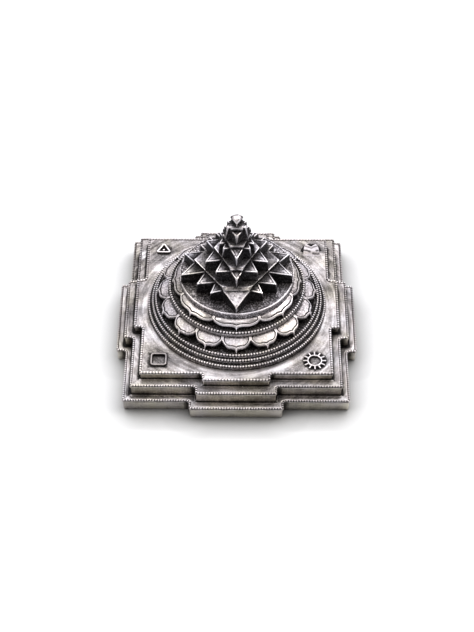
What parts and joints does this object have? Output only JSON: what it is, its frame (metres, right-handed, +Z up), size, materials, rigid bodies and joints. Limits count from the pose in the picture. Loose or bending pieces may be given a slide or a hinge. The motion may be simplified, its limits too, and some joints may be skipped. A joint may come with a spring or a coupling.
{
  "type": "meru shri yantra",
  "caption": "Stepped ritual diagram in oxidised silver: gated square tiers, round steps, lotus rings and a tower of interlaced triangles up to a rounded point.",
  "frame": {"origin": "middle of the underside, on the plane that the part stands on", "axes": "+Z up to the bindu, -Y to the front that faces the viewer in the picture, +X to the viewer's right"},
  "size_m": [0.076, 0.076, 0.0496],
  "materials": {
    "plate_silver": "cast and brushed silver with a thin warm tarnish",
    "bead_silver": "polished silver wire",
    "oxidised_silver": "blackened silver, rubbed on its edges",
    "petal_silver": "satin polished silver",
    "star_silver": "blackened silver with polished tops and edges"
  },
  "bodies": {
    "root": {"lower_tier": "plate_silver", "middle_tier": "plate_silver", "upper_tier": "plate_silver", "lower_tier_wire": "bead_silver", "middle_tier_wire": "bead_silver", "upper_tier_wire": "bead_silver", "lower_step": "oxidised_silver", "middle_step": "oxidised_silver", "upper_step": "oxidised_silver", "lower_step_wire": "bead_silver", "middle_step_wire": "bead_silver", "upper_step_wire": "bead_silver", "sixteen_petal_lotus": "petal_silver", "collar": "oxidised_silver", "collar_wire": "bead_silver", "eight_petal_lotus": "petal_silver", "star_dish": "oxidised_silver", "fourteen_point_star": "star_silver", "outer_ten_point_star": "star_silver", "inner_ten_point_star": "star_silver", "eight_point_star": "star_silver", "bindu": "petal_silver", "square_emblem": "bead_silver", "triangle_emblem": "bead_silver", "sun_emblem": "bead_silver", "crescent_emblem": "bead_silver"}
  },
  "joints": []
}
